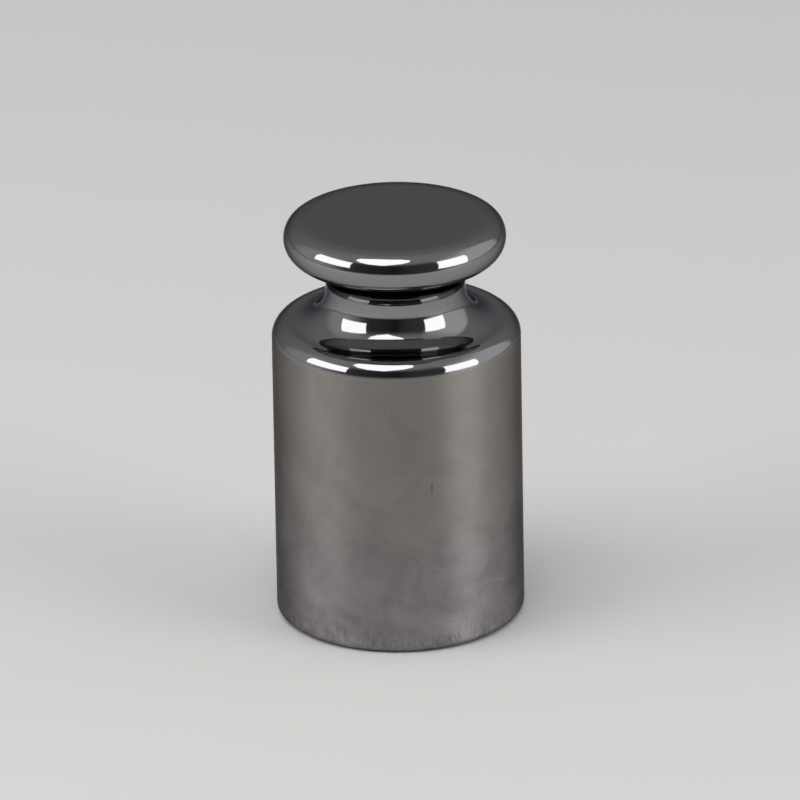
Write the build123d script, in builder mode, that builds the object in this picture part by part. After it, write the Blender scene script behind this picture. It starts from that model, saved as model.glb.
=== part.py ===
"""Calibration weight, 50 g: one piece of turned and chrome-plated steel.

A plain cylinder carries a short waisted neck and a mushroom-shaped lifting knob.
Everything is turned about one axis, so the whole weight is a single section
revolved once.  Millimetres, +Z up, origin at the centre of the foot.
"""
from build123d import *
from math import cos, radians, tan
import os

# ---- driving dimensions ----------------------------------------------------
# body
body_diameter = 17.8
body_height = 22.3             # foot to the flat deck round the neck
foot_edge_radius = 0.6         # rounding of the edge that it stands on
shoulder_radius = 1.2          # rounding of the body's top edge
deck_width = 0.25              # flat ring left between the neck's cove and the shoulder

# neck
neck_diameter = 10.0
neck_straight = 0.2            # plain length between the cove and the throat
throat_radius = 1.79           # turn from the neck out into the knob's underside

# knob
knob_diameter = 15.9
underside_angle = 30.65        # slope of the knob's underside above the horizontal
rim_radius = 1.557             # rounding round the widest part of the knob
rim_top_angle = 30.0           # where the rim hands over to the tighter top edge
knob_edge_radius = 1.12        # rounding between the rim and the crown
crown_radius = 6.0             # soft crown where the edge runs into the flat top
crown_angle = 8.0              # how far the crown has still to turn

# ---- radii and turns worked out from them ------------------------------------
body_radius = body_diameter / 2
neck_radius = neck_diameter / 2
knob_radius = knob_diameter / 2

# the cove flares out from the neck over all that the deck and shoulder leave it
deck_inner_radius = body_radius - shoulder_radius - deck_width
cove_radius = deck_inner_radius - neck_radius

under_turn = 90 - underside_angle
edge_turn = 90 - rim_top_angle - crown_angle

# where the straight underside meets the rim as a tangent
rim_start_radius = knob_radius - rim_radius * (1 - cos(radians(under_turn)))

# ---- the weight --------------------------------------------------------------
# The outline is walked from the centre of the foot up to the top of the knob.
# Each arc starts along the end of the piece before it, so the section runs
# smoothly and every length above the body moves up with the body's height.
with BuildPart() as weight:
    with BuildSketch(Plane.XZ):
        with BuildLine():
            foot = Line((0, 0), (body_radius - foot_edge_radius, 0))
            foot_edge = JernArc(foot @ 1, foot % 1, foot_edge_radius, 90)
            wall = Line(foot_edge @ 1, (body_radius, body_height - shoulder_radius))
            shoulder = JernArc(wall @ 1, wall % 1, shoulder_radius, 90)
            deck = Line(shoulder @ 1, (deck_inner_radius, body_height))

            cove = JernArc(deck @ 1, deck % 1, cove_radius, -90)
            neck = Line(cove @ 1, cove @ 1 + Vector(0, neck_straight))
            throat = JernArc(neck @ 1, neck % 1, throat_radius, -under_turn)

            throat_end = throat @ 1
            rise = (rim_start_radius - throat_end.X) * tan(radians(underside_angle))
            underside = Line(throat_end, (rim_start_radius, throat_end.Y + rise))
            rim = JernArc(
                underside @ 1, underside % 1, rim_radius, under_turn + rim_top_angle
            )
            knob_edge = JernArc(rim @ 1, rim % 1, knob_edge_radius, edge_turn)
            crown = JernArc(knob_edge @ 1, knob_edge % 1, crown_radius, crown_angle)

            top_height = (crown @ 1).Y
            top = Line(crown @ 1, (0, top_height))
            Line(top @ 1, foot @ 0)
        make_face()
    revolve(axis=Axis.Z)

weight.part.label = "weight"

os.makedirs("parts", exist_ok=True)
export_step(weight.part, "parts/weight.step")

print(f"overall height {top_height:.2f} mm")
print(f"volume {weight.part.volume:.1f} mm3 in {len(weight.part.faces())} faces")
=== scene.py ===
# %% [markdown]
# # A 50 g calibration weight
#
# The object is one piece of steel, turned on a lathe and then chrome plated: a plain
# cylinder, a short waisted neck and a mushroom-shaped knob to lift it by. Nothing on it
# moves. The looks come from two things only: a very smooth turned surface and what the
# chrome mirrors. So this lesson spends its care on the outline, the finish and the lights.
#
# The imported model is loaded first. It is the fixed frame, in metres, that everything else
# is measured from.

import math

import bpy
import numpy as np
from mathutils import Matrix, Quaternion, Vector


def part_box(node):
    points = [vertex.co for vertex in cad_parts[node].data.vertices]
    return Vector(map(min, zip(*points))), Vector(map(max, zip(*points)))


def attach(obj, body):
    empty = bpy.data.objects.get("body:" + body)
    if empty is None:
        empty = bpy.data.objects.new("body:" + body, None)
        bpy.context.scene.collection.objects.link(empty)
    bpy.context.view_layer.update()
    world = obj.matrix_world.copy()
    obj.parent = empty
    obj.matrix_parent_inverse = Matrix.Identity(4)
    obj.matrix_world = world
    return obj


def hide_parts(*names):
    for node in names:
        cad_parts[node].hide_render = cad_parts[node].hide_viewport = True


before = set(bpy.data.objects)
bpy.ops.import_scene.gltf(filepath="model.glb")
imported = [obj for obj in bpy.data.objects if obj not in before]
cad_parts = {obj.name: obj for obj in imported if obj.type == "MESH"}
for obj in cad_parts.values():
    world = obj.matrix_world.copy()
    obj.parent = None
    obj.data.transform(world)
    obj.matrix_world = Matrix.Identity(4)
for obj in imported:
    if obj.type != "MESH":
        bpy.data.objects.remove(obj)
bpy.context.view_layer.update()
foot_corner, top_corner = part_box("weight")
print("weight, mm:", [round(1000 * side, 2) for side in top_corner - foot_corner])

# %% [markdown]
# ## The sizes of the turned outline
#
# A turner works from one side view: half of the outline, from the foot up to the knob. It
# needs few numbers, because every stretch of it is either straight or an arc that leaves
# the stretch before it without a corner. The body's width comes from the frame, and the
# rest are the lathe's own sizes. The overall height follows from them, so the walk below
# can be checked against the frame's.

# %% Sizes, in metres
MM = 0.001

body_radius = (top_corner.x - foot_corner.x) / 2
body_height = 22.3 * MM          # foot to the flat deck round the neck
foot_edge_radius = 0.6 * MM      # the edge it stands on is only broken
shoulder_radius = 1.2 * MM       # the body's top edge is rounded for the fingers

neck_radius = 5.0 * MM
cove_radius = 2.45 * MM          # flare from the neck out on to the deck
neck_straight = 0.2 * MM         # plain length between the two flares
throat_radius = 1.79 * MM        # turn from the neck out under the knob

knob_radius = 7.95 * MM
underside_angle = math.radians(30.65)
rim_radius = 1.557 * MM          # the widest part of the knob
rim_top_angle = math.radians(30)
knob_edge_radius = 1.12 * MM
crown_radius = 6.0 * MM          # a buffing wheel leaves the top's edge slightly crowned
crown_angle = math.radians(8)

quarter = math.pi / 2
under_turn = quarter - underside_angle
print(f"body {2000 * body_radius:.2f} mm across, knob {2000 * knob_radius:.2f} mm")

# %% [markdown]
# ## Walking round the outline
#
# Blender could revolve a bezier curve with the Screw modifier, but then the arcs are only
# nearly round, and a mirror finish shows it. Here the outline is walked like a turtle
# drawing: each step knows where it is and which way it heads. A straight step moves on
# along the heading, and an arc turns the heading evenly. The heading is kept for every
# point, because the surface's true normal is the heading turned a quarter to the right.

# %% Steps of the walk
def start_walk(radius, height, heading):
    """One point and its heading: the start of an outline."""
    return np.array([[radius, height]]), np.array([heading])


def go_straight(walk, length, guard=0.02 * MM):
    """The last point plus the length along the heading, with a guard point near each end.

    The guards keep a flat stretch flat right up to the arcs beside it.
    """
    points, headings = walk
    heading = headings[-1]
    steps = np.array([guard, length - guard, length] if length > 3 * guard else [length])
    onward = np.array([math.cos(heading), math.sin(heading)])
    new = points[-1] + steps[:, None] * onward
    return np.vstack([points, new]), np.append(headings, np.full(len(steps), heading))


def go_round(walk, radius, turn, step=math.radians(2.0)):
    """A round arc: the centre lies a radius to the left (turn above 0) or right of the
    heading, and each point is the centre plus a spoke at evenly spaced headings."""
    points, headings = walk
    heading = headings[-1]
    side = math.copysign(1.0, turn)
    centre = points[-1] + side * radius * np.array([-math.sin(heading), math.cos(heading)])
    count = max(4, math.ceil(abs(turn) / step))
    new = heading + turn * np.arange(1, count + 1) / count
    spoke = side * radius * np.stack([np.sin(new), -np.cos(new)], axis=1)
    return np.vstack([points, centre + spoke]), np.append(headings, new)


tried, _ = go_round(start_walk(0.0, 0.0, 0.0), MM, quarter)
print("a quarter turn of 1 mm radius ends at", np.round(1000 * tried[-1], 3), "mm")

# %% [markdown]
# ## From the foot to the knob
#
# Now the steps are put in a row, in the order a finger would feel them: foot, broken edge,
# wall, shoulder, deck, cove, neck, throat, underside, rim, edge, crown and flat top. Three
# lengths follow from the others: the deck ends where the cove begins, the underside ends
# where the rim begins, and the top ends on the axis.

# %% The walk
COARSE_STEP = math.radians(6)     # enough for the small foot edge
outline = start_walk(0.0, 0.0, 0.0)
outline = go_straight(outline, body_radius - foot_edge_radius)
outline = go_round(outline, foot_edge_radius, quarter, COARSE_STEP)
outline = go_straight(outline, body_height - foot_edge_radius - shoulder_radius)
outline = go_round(outline, shoulder_radius, quarter)
outline = go_straight(outline, outline[0][-1][0] - neck_radius - cove_radius)
outline = go_round(outline, cove_radius, -quarter)
outline = go_straight(outline, neck_straight)
outline = go_round(outline, throat_radius, -under_turn)

rim_start = knob_radius - rim_radius * (1 - math.cos(under_turn))
outline = go_straight(outline, (rim_start - outline[0][-1][0]) / math.cos(underside_angle))
outline = go_round(outline, rim_radius, under_turn + rim_top_angle)
outline = go_round(outline, knob_edge_radius, quarter - rim_top_angle - crown_angle)
outline = go_round(outline, crown_radius, crown_angle)
outline = go_straight(outline, outline[0][-1][0])

profile, headings = outline
print(f"{len(profile)} points, top of the knob at {1000 * profile[-1][1]:.2f} mm,",
      f"the frame's at {1000 * top_corner.z:.2f} mm")

# %% [markdown]
# ## Turning the outline
#
# The lathe spins the outline round the axis. As a formula, the point at outline step i and
# angle a is (radius_i cos a, radius_i sin a, height_i), and its normal is the outline's own
# normal turned by the same angle. The two ends of the outline lie on the axis, so each
# becomes a single point, closed by a fan of triangles. The normals are handed to the mesh,
# so the mirror images are as clean as on the real plate.

# %% The turned surface
def turned(name, profile, headings, spokes):
    """Carries a profile round the z axis: (radius cos a, radius sin a, height) for each
    profile point and each evenly spaced angle a, between its two ends on the axis."""
    angles = 2 * math.pi * np.arange(spokes) / spokes
    cos, sin = np.cos(angles), np.sin(angles)
    radius, height = profile[1:-1, 0, None], profile[1:-1, 1, None]
    rings = np.stack([radius * cos, radius * sin, height + 0 * cos], axis=-1)

    out, up = np.sin(headings[1:-1, None]), -np.cos(headings[1:-1, None])
    ring_normals = np.stack([out * cos, out * sin, up + 0 * cos], axis=-1)

    ends = profile[[0, -1], 1]
    points = np.vstack([[[0, 0, ends[0]]], rings.reshape(-1, 3), [[0, 0, ends[1]]]])
    normals = np.vstack([[[0, 0, -1]], ring_normals.reshape(-1, 3), [[0, 0, 1]]])

    here = np.arange(spokes)
    beside = (here + 1) % spokes
    first = 1 + spokes * np.arange(len(radius) - 1)[:, None]
    quads = np.stack([first + here, first + beside,
                      first + spokes + beside, first + spokes + here], axis=-1)
    last = 1 + spokes * (len(radius) - 1)
    foot = np.stack([0 * here, 1 + beside, 1 + here], axis=-1)
    top = np.stack([0 * here + len(points) - 1, last + here, last + beside], axis=-1)

    mesh = bpy.data.meshes.new(name)
    faces = quads.reshape(-1, 4).tolist() + foot.tolist() + top.tolist()
    mesh.from_pydata(points.tolist(), [], faces)
    mesh.update()
    mesh.shade_smooth()
    mesh.normals_split_custom_set_from_vertices(normals.tolist())
    piece = bpy.data.objects.new(name, mesh)
    bpy.context.scene.collection.objects.link(piece)
    return piece


SPOKES = 256
weight = turned("turned_weight", profile, headings, SPOKES)
triangles = sum(len(face.vertices) - 2 for face in weight.data.polygons)
print(f"{len(weight.data.vertices)} points, {triangles} triangles")

# %% [markdown]
# ## Small helpers for finishes
#
# A colour is easiest to choose as a hex code on a screen, but a renderer adds up light in
# linear values, so one function turns the first into the second. The next one adds a node
# with its settings and its incoming links in one call, which keeps a node tree readable,
# and the last one starts an empty material.

# %% Colour helper
def srgb(code):
    """An sRGB hex colour as linear RGBA: c / 12.92 in the darks, a 2.4 power above them."""
    values = np.array([int(code[i:i + 2], 16) for i in (1, 3, 5)]) / 255
    linear = np.where(values <= 0.04045, values / 12.92, ((values + 0.055) / 1.055) ** 2.4)
    return (*linear.tolist(), 1.0)


print("steel grey in linear values:", [round(v, 3) for v in srgb("#918e89")[:3]])


# %% Node helper
def add(tree, kind, settings=None, links=None):
    """A node of this kind, with its settings (attributes or inputs) and its incoming links."""
    node = tree.nodes.new(kind)
    for key, value in (settings or {}).items():
        if isinstance(key, str) and hasattr(node, key):
            setattr(node, key, value)
        else:
            node.inputs[key].default_value = value
    for key, socket in (links or {}).items():
        tree.links.new(socket, node.inputs[key])
    return node


# %% Material helper
def new_material(name):
    """An empty node material and its tree, with the output node in place."""
    material = bpy.data.materials.new(name)
    material.use_nodes = True
    tree = material.node_tree
    tree.nodes.clear()
    return material, tree, add(tree, "ShaderNodeOutputMaterial")


# %% [markdown]
# ## Chrome plate: a mirror above, a satin wall below
#
# The whole weight wears one coat of chrome, but the steel under it was not finished alike.
# The knob, the neck and the deck were buffed, so they mirror the room sharply. The wall was
# only ground, which leaves very fine rings round it, and rings smear what they mirror
# across themselves, into soft upright bands. One material can hold both: a smooth step
# along the height blends a low roughness into a high one just below the shoulder, and an
# anisotropic shader with its tangent round the axis stretches the smear along the wall.
# Two separate materials would meet in a hard line.

# %% From mirror to satin
BUFFED_DOWN_TO = 21.6 * MM
GROUND_UP_TO = 21.0 * MM
BUFFED_ROUGHNESS = 0.06
GROUND_ROUGHNESS = 0.38

chrome, tree, output = new_material("chrome_plate_over_turned_steel")
place = add(tree, "ShaderNodeTexCoord")
along = add(tree, "ShaderNodeSeparateXYZ", links={"Vector": place.outputs["Object"]})
height = along.outputs["Z"]

satin = add(tree, "ShaderNodeMapRange", {
    "interpolation_type": "SMOOTHSTEP", "From Min": BUFFED_DOWN_TO, "From Max": GROUND_UP_TO,
}, {"Value": height})
blur = add(tree, "ShaderNodeMapRange",
           {"To Min": BUFFED_ROUGHNESS, "To Max": GROUND_ROUGHNESS},
           {"Value": satin.outputs["Result"]})
print(f"roughness {BUFFED_ROUGHNESS} on the buffed parts, {GROUND_ROUGHNESS} on the wall")

# %% [markdown]
# ## Smudges, and a painted floor reflection near the foot
#
# A weight is lifted by its knob, yet the wall still gathers faint marks: cloud-like smudges
# a few millimetres across. Towards the foot they grow stronger, and that added strength is a
# painted reflection of the mottled floor which the low wall mirrors. A noise with a little
# distortion gives their curled shapes. It shifts the tone, and the roughness a touch with
# it: where the wall is paler it is also more matt. Taking a half away first makes it swing
# evenly to both sides, so the wall's mean tone stays the chosen one.

# %% Smudges, with a painted floor reflection near the foot
BLOTCH_SIZE = 3.2 * MM
FAINTEST_AT, FAINTEST = 14 * MM, 0.8
STRONGEST_AT, STRONGEST = 2 * MM, 2.3
smudge_and_reflection_noise = add(tree, "ShaderNodeTexNoise", {
    "Scale": 1 / BLOTCH_SIZE, "Detail": 6.0, "Roughness": 0.62, "Distortion": 0.8,
}, {"Vector": place.outputs["Object"]})
centred_smudge_and_reflection = add(tree, "ShaderNodeMath", {"operation": "SUBTRACT", 1: 0.5},
                     {0: smudge_and_reflection_noise.outputs["Fac"]})
# Stronger towards the foot: the added strength there is a painted reflection of the floor.
smudge_and_painted_reflection_strength = add(tree, "ShaderNodeMapRange", {
    "From Min": FAINTEST_AT, "From Max": STRONGEST_AT, "To Min": FAINTEST, "To Max": STRONGEST,
}, {"Value": height})
smudges_and_painted_reflection = add(tree, "ShaderNodeMath", {"operation": "MULTIPLY"},
              {0: centred_smudge_and_reflection.outputs["Value"], 1: smudge_and_painted_reflection_strength.outputs["Result"]})
# The blotches printed here as smudges are a painted floor reflection near the foot.
print(f"smudges about {1000 * BLOTCH_SIZE:.1f} mm across, strongest near the foot")

# %% [markdown]
# ## Scuffs above the foot
#
# The last millimetre or two above the foot rubs against the bench and the box. It carries
# short upright hairlines like the barbs of a feather. The same kind of noise makes them, in
# a space that is stretched upright. Real hairlines are about 0.05 mm wide. They are drawn
# at 0.2 mm, or they would vanish at this distance.

# %% Scuffs
HAIR_WIDTH = 0.2 * MM
HAIR_LENGTH = 0.6 * MM
SCUFFS_END = 2.4 * MM
SCUFFS_FULL = 0.6 * MM
stretched = add(tree, "ShaderNodeMapping", {
    "Scale": (1 / HAIR_WIDTH, 1 / HAIR_WIDTH, 1 / HAIR_LENGTH),
}, {"Vector": place.outputs["Object"]})
hairs = add(tree, "ShaderNodeTexNoise", {"Scale": 1.0, "Detail": 3.0, "Roughness": 0.7},
            {"Vector": stretched.outputs["Vector"]})
centred_hairs = add(tree, "ShaderNodeMath", {"operation": "SUBTRACT", 1: 0.5},
                    {0: hairs.outputs["Fac"]})
rubbed = add(tree, "ShaderNodeMapRange", {
    "interpolation_type": "SMOOTHSTEP", "From Min": SCUFFS_END, "From Max": SCUFFS_FULL,
}, {"Value": height})
scuffed = add(tree, "ShaderNodeMath", {"operation": "MULTIPLY"},
              {0: centred_hairs.outputs["Value"], 1: rubbed.outputs["Result"]})
print(f"hairlines {1000 * HAIR_WIDTH:.2f} mm wide and {1000 * HAIR_LENGTH:.1f} mm long")

# %% [markdown]
# ## A nick, a scratch and specks
#
# Three small things make the wall this one and no other: a dark upright nick half way up,
# a pale scratch near the foot and a few bright specks. The first two are placed by angle
# and height: the angle round the axis is the arctangent of x over minus y, and Compare says
# where a value lies within a margin of another. A scratch that falls as it runs is
# straightened first, by adding its fall times the angle to the height. The specks are the
# hearts of scattered cells, where the surface happens to pass close by.

# %% Nick and scratch
back = add(tree, "ShaderNodeMath", {"operation": "MULTIPLY", 1: -1.0},
           {0: along.outputs["Y"]})
angle = add(tree, "ShaderNodeMath", {"operation": "ARCTAN2"},
            {0: along.outputs["X"], 1: back.outputs["Value"]})
marks = []
for degrees, mark_height, half_width, half_height, fall in (
        (15.3, 12.68 * MM, 0.06 * MM, 0.38 * MM, 0.0),          # the nick
        (53.5, 4.14 * MM, 0.78 * MM, 0.04 * MM, 3.03 * MM)):    # the scratch
    mark_angle = math.radians(degrees)
    across = add(tree, "ShaderNodeMath", {
        "operation": "COMPARE", 1: mark_angle, 2: half_width / body_radius,
    }, {0: angle.outputs["Value"]})
    straightened = add(tree, "ShaderNodeMath", {"operation": "MULTIPLY_ADD", 1: fall},
                       {0: angle.outputs["Value"], 2: height})
    upright = add(tree, "ShaderNodeMath", {
        "operation": "COMPARE", 1: mark_height + fall * mark_angle, 2: half_height,
    }, {0: straightened.outputs["Value"]})
    marks.append(add(tree, "ShaderNodeMath", {"operation": "MULTIPLY"},
                     {0: across.outputs["Value"], 1: upright.outputs["Value"]}))
    print(f"a mark {2000 * half_width:.2f} mm wide and {2000 * half_height:.2f} mm tall")
nick, scratch = marks

# %% Specks
SPECK_SPACING = 1.4 * MM
SPECK_RADIUS = 0.07 * MM      # real ones are half as big, and would not show
cells = add(tree, "ShaderNodeTexVoronoi", {"Scale": 1 / SPECK_SPACING},
            {"Vector": place.outputs["Object"]})
specks = add(tree, "ShaderNodeMath", {
    "operation": "LESS_THAN", 1: SPECK_RADIUS / SPECK_SPACING,
}, {0: cells.outputs["Distance"]})
bright = add(tree, "ShaderNodeMath", {"operation": "MAXIMUM"},
             {0: specks.outputs["Value"], 1: scratch.outputs["Value"]})
print(f"specks up to {2000 * SPECK_RADIUS:.2f} mm across")

# %% [markdown]
# ## Tone and relief
#
# Smudges, whose stronger part near the foot is a painted reflection of the floor, and
# scuffs are numbers that swing between a darker and a lighter wall, so they are summed
# first, and the sum mixes the colours. The satin wall is a warm grey near the shoulder and
# turns cooler towards the foot. The nick and the bright marks come last, on top. The
# hairlines are also a real relief, about a hundredth of a millimetre deep, so they go
# through a Bump node too and catch the light at the foot.

# %% Tone of the wall
SCUFF_STRENGTH = 3.0
WARM_ABOVE = 14 * MM
COOL_BELOW = 3 * MM
# Smudges, with their painted floor reflection near the foot, plus the scuffs.
smudge_and_reflection_tone = add(tree, "ShaderNodeMath", {"operation": "ADD", 1: 0.5},
             {0: smudges_and_painted_reflection.outputs["Value"]})
scuffs_smudges_and_painted_reflection = add(tree, "ShaderNodeMath", {"operation": "MULTIPLY_ADD", 1: SCUFF_STRENGTH},
                {0: scuffed.outputs["Value"], 2: smudge_and_reflection_tone.outputs["Value"]})
warm_wall = add(tree, "ShaderNodeMix", {
    "data_type": "RGBA", 6: srgb("#7d7875"), 7: srgb("#9d9894"),
}, {"Factor": scuffs_smudges_and_painted_reflection.outputs["Value"]})
cool_wall = add(tree, "ShaderNodeMix", {
    "data_type": "RGBA", 6: srgb("#7b777a"), 7: srgb("#9d999a"),
}, {"Factor": scuffs_smudges_and_painted_reflection.outputs["Value"]})
cooling = add(tree, "ShaderNodeMapRange", {"From Min": WARM_ABOVE, "From Max": COOL_BELOW},
              {"Value": height})
wall = add(tree, "ShaderNodeMix", {"data_type": "RGBA"}, {
    "Factor": cooling.outputs["Result"], 6: warm_wall.outputs[2], 7: cool_wall.outputs[2],
})
print(f"warm grey above {1000 * WARM_ABOVE:.0f} mm, cool grey below {1000 * COOL_BELOW:.0f} mm")

# %% Mirror, nick and bright marks
tone = add(tree, "ShaderNodeMix", {"data_type": "RGBA", 6: srgb("#908f91")},
           {"Factor": satin.outputs["Result"], 7: wall.outputs[2]})
nicked = add(tree, "ShaderNodeMix", {"data_type": "RGBA", 7: srgb("#73706c")},
             {"Factor": nick.outputs["Value"], 6: tone.outputs[2]})
speckled = add(tree, "ShaderNodeMix", {"data_type": "RGBA", 7: srgb("#a3a09b")},
               {"Factor": bright.outputs["Value"], 6: nicked.outputs[2]})

# %% Roughness and relief
BLOTCH_DULLING = 0.03
HAIR_DEPTH = 0.012 * MM
# The wall is more matt where the smudges and the painted floor reflection are paler.
dulled = add(tree, "ShaderNodeMath", {"operation": "MULTIPLY_ADD", 1: BLOTCH_DULLING},
             {0: smudges_and_painted_reflection.outputs["Value"], 2: blur.outputs["Result"]})
relief = add(tree, "ShaderNodeBump", {"Strength": 1.0, "Distance": HAIR_DEPTH},
             {"Height": scuffed.outputs["Value"]})
print(f"hairlines up to {1000 * HAIR_DEPTH:.3f} mm deep")

# %% [markdown]
# ## The plate itself
#
# A metal is the Principled shader at full Metallic with the default IOR. The base colour
# is what it gives back of the light straight on, and the Specular Tint is its tone where
# the light only grazes it. Chrome does give back a little less at a slant, but this grey
# is far darker than that: it is painted shade, which keeps the weight's outline dark
# against a pale floor as if it mirrored a shaded floor behind it. To the eye it is a cold,
# deep mirror over a soft grey column.

# %% Plate
tangent = add(tree, "ShaderNodeTangent", {"direction_type": "RADIAL", "axis": "Z"})
plate = add(tree, "ShaderNodeBsdfPrincipled", {
    "Metallic": 1.0,
    # Partly chrome's own dimming at a slant, mostly painted shade along the outline
    "Specular Tint": srgb("#87878c"),
    "Anisotropic": 0.8,
    "Anisotropic Rotation": 0.25,
}, {
    "Base Color": speckled.outputs[2],
    "Roughness": dulled.outputs["Value"],
    "Normal": relief.outputs["Normal"],
    "Tangent": tangent.outputs["Tangent"],
})
tree.links.new(plate.outputs["BSDF"], output.inputs["Surface"])
weight.data.materials.append(chrome)
print(f"{chrome.name}: {len(tree.nodes)} nodes")

# %% [markdown]
# ## The floor
#
# A mirror shows its surroundings, so the floor is part of the finish: the underside of the
# knob, the cove and the wall reflect it. It is a sheet of pale matt paper, wide enough that
# its edge shows neither in a view nor in the metal.

# %% The floor
FLOOR_HALF = 1.5
corners = FLOOR_HALF * np.array([(-1, -1, 0), (1, -1, 0), (1, 1, 0), (-1, 1, 0)])
floor_mesh = bpy.data.meshes.new("floor")
floor_mesh.from_pydata(corners.tolist(), [], [(0, 1, 2, 3)])
floor = bpy.data.objects.new("floor", floor_mesh)
bpy.context.scene.collection.objects.link(floor)
paper, tree, output = new_material("pale_matt_paper")
sheet = add(tree, "ShaderNodeBsdfPrincipled",
            {"Base Color": srgb("#cfcfcd"), "Roughness": 0.9})
tree.links.new(sheet.outputs["BSDF"], output.inputs["Surface"])
floor_mesh.materials.append(paper)
print(f"floor {2 * FLOOR_HALF:.0f} m square")

# %% [markdown]
# ## Three softboxes
#
# The bright patches on the knob, in the cove and along the shoulder are mirror images of
# lamps. A round metal part shows every lamp several times, so where the patches sit tells
# where the lamps stood: a softbox on the left, one on the right and a cloth overhead.
# An area lamp can only be a rectangle or an ellipse. A lamp made of a flat mesh can have
# the slanted corners that a tilted softbox shows. Its front glows, its back is clear, and
# the camera doesn't see it at all, so no view is blocked.

# %% Softbox cloth
RADIANCE = 3.5      # a white sheet in full light has 1
cloth, tree, output = new_material("glowing_softbox_cloth")
facing = add(tree, "ShaderNodeNewGeometry")
glow = add(tree, "ShaderNodeEmission", {"Strength": RADIANCE})
clear = add(tree, "ShaderNodeBsdfTransparent")
cloth_side = add(tree, "ShaderNodeMixShader", links={
    "Fac": facing.outputs["Backfacing"], 1: glow.outputs["Emission"], 2: clear.outputs["BSDF"],
})
tree.links.new(cloth_side.outputs["Shader"], output.inputs["Surface"])
print(f"cloth glows at {RADIANCE} times white")

# %% Placing a softbox
REACH = 0.45
middle = Vector((0, 0, 15 * MM))


def seen_from_weight(azimuth, elevation):
    """A place REACH away: azimuth from the front to the right, elevation up, in degrees."""
    a, e = math.radians(azimuth), math.radians(elevation)
    flat = REACH * math.cos(e)
    return middle + Vector((flat * math.sin(a), -flat * math.cos(a), REACH * math.sin(e)))


def softbox(name, corners):
    """A flat lamp with these corners, wound so that its front faces the weight."""
    centre = sum(corners, Vector()) / len(corners)
    normal = (corners[1] - corners[0]).cross(corners[2] - corners[1])
    if normal.dot(middle - centre) < 0:
        corners = corners[::-1]
    mesh = bpy.data.meshes.new(name)
    mesh.from_pydata([tuple(corner) for corner in corners], [], [tuple(range(len(corners)))])
    mesh.materials.append(cloth)
    lamp = bpy.data.objects.new(name, mesh)
    lamp.visible_camera = False
    bpy.context.scene.collection.objects.link(lamp)
    print(f"{name}: {len(corners)} corners, {centre.length:.2f} m away")


# %% The softboxes
softbox("left_softbox", [seen_from_weight(a, e) for a, e in
                         ((-97.5, 40), (-53.5, 46.5), (-47, 17), (-89, 11))])
softbox("right_softbox", [seen_from_weight(a, e) for a, e in
                          ((51, 44.5), (85, 36.5), (77, 2.5), (43.5, 8.5))])
overhead = ((-0.52, -0.42), (-0.46, -0.66), (-0.22, -0.84), (-0.02, -0.66), (0.10, -0.55),
            (0.17, -0.32), (0.14, -0.06), (0.04, 0.12), (-0.12, 0.18), (-0.30, 0.10),
            (-0.45, -0.14))
softbox("overhead_softbox", [middle + REACH * Vector((x, y, 1)) for x, y in overhead])

# %% [markdown]
# ## The light tent
#
# Between the lamps the metal mirrors the walls of a light tent, lit unevenly: pale beside
# the lamps, dark towards the open front. The world holds it. A radial gradient turns the
# direction into an angle round the weight, a colour ramp gives each angle its grey, and
# high up all of them blend into one even roof.

# %% Angle round the tent
world = bpy.data.worlds.new("light_tent")
bpy.context.scene.world = world
world.use_nodes = True
tree = world.node_tree
tree.nodes.clear()
direction = add(tree, "ShaderNodeTexCoord")
turned_round = add(tree, "ShaderNodeMapping", {"Rotation": (0, 0, quarter)},
                   {"Vector": direction.outputs["Generated"]})
round_angle = add(tree, "ShaderNodeTexGradient", {"gradient_type": "RADIAL"},
                  {"Vector": turned_round.outputs["Vector"]})
print("0 is the front, and the angle grows to the right")

# %% The tent's walls
walls = add(tree, "ShaderNodeValToRGB", links={"Fac": round_angle.outputs["Fac"]})
wall_greys = ((-180, "#a6a6a6"), (-127, "#a2a2a2"), (-119, "#bcbcbc"), (-110, "#cacaca"),
              (-80, "#cacaca"), (-50, "#5a5a5a"), (-40, "#474747"), (-20, "#3d3d3d"),
              (0, "#2f2f2f"), (15, "#4a4a4a"), (45, "#565656"), (60, "#d6d6d6"),
              (85, "#f1f1f1"), (124, "#f1f1f1"), (130, "#a2a2a2"), (180, "#a6a6a6"))
stops = walls.color_ramp.elements
while len(stops) < len(wall_greys):
    stops.new(1.0)
for stop, (azimuth, grey) in zip(stops, wall_greys):
    stop.position = 0.5 + azimuth / 360
    stop.color = srgb(grey)
print(f"{len(wall_greys)} greys round the tent")

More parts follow.
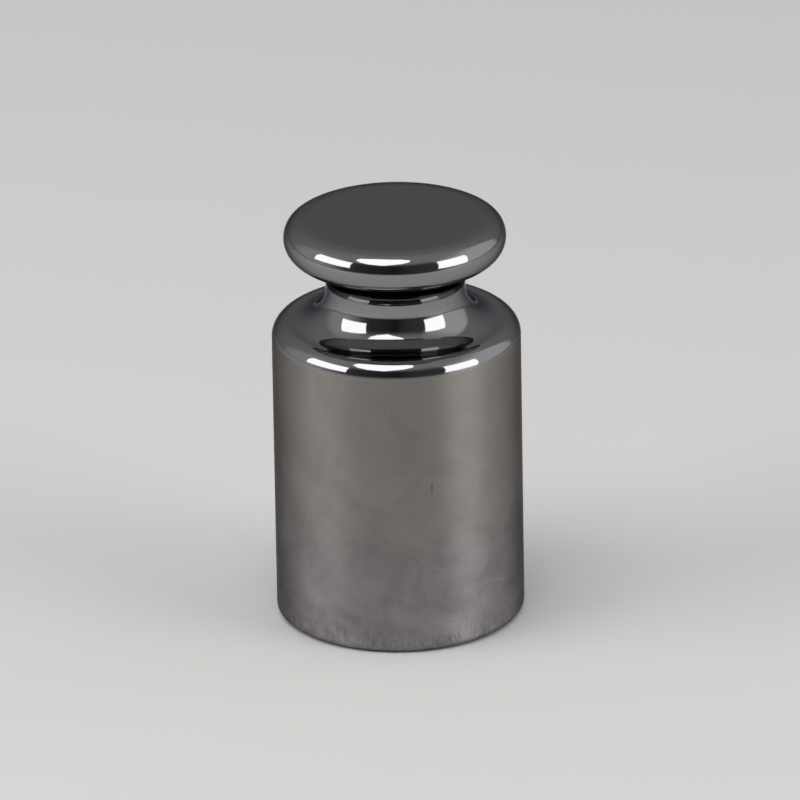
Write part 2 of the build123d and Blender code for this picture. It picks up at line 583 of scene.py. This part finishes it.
# %% The tent's roof
WALL_ENDS = 0.63      # sine of the elevation where the walls begin to give way
ROOF_FULL = 0.93      # and where only the roof is left
parts = add(tree, "ShaderNodeSeparateXYZ", links={"Vector": direction.outputs["Generated"]})
roof = add(tree, "ShaderNodeMapRange", {
    "interpolation_type": "SMOOTHSTEP", "From Min": WALL_ENDS, "From Max": ROOF_FULL,
}, {"Value": parts.outputs["Z"]})
tent = add(tree, "ShaderNodeMix", {"data_type": "RGBA", 7: srgb("#b1b1b1")},
           {"Factor": roof.outputs["Result"], 6: walls.outputs["Color"]})
tent_light = add(tree, "ShaderNodeBackground", links={"Color": tent.outputs[2]})
add(tree, "ShaderNodeOutputWorld", links={"Surface": tent_light.outputs["Background"]})
print(f"the walls give way from {math.degrees(math.asin(WALL_ENDS)):.0f} degrees up")

# %% [markdown]
# ## The camera
#
# A product camera stands well back with a long lens, so that upright lines stay nearly
# upright. This one looks down by 23 degrees at the middle of the weight from a metre away,
# and is rolled by less than a degree, as a hand-levelled tripod is. The lens follows from
# the width of the field: focal length is sensor width times distance over field.

# %% Camera
LOOK_DOWN = math.radians(22.94)
ROLL = math.radians(-0.96)
FIELD = 57.23 * MM
CAMERA_DISTANCE = 1.0
SENSOR = 36.0
target = Vector((0.185 * MM, 0, 15.93 * MM))
toward_camera = Vector((0, -math.cos(LOOK_DOWN), math.sin(LOOK_DOWN)))

camera_data = bpy.data.cameras.new("camera")
camera_data.sensor_width = SENSOR
camera_data.lens = SENSOR * CAMERA_DISTANCE / FIELD
camera_data.clip_start = 0.01
camera_data.clip_end = 10
camera = bpy.data.objects.new("camera", camera_data)
camera.location = target + CAMERA_DISTANCE * toward_camera
level = toward_camera.to_track_quat("Z", "Y")
camera.rotation_euler = (level @ Quaternion((0, 0, 1), ROLL)).to_euler()
bpy.context.scene.collection.objects.link(camera)
bpy.context.scene.camera = camera
print(f"lens {camera_data.lens:.0f} mm, camera at", [round(v, 3) for v in camera.location])

# %% [markdown]
# ## How light becomes a picture
#
# The Standard view transform shows a colour as it is written. The filmic ones would lay a
# curve over it, and the greys chosen above would no longer be the greys in the render.

# %% View transform
bpy.context.scene.view_settings.view_transform = "Standard"
print("view transform:", bpy.context.scene.view_settings.view_transform)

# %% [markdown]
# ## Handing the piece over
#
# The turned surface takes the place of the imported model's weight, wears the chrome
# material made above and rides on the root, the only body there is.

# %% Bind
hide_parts("weight")
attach(weight, "root")
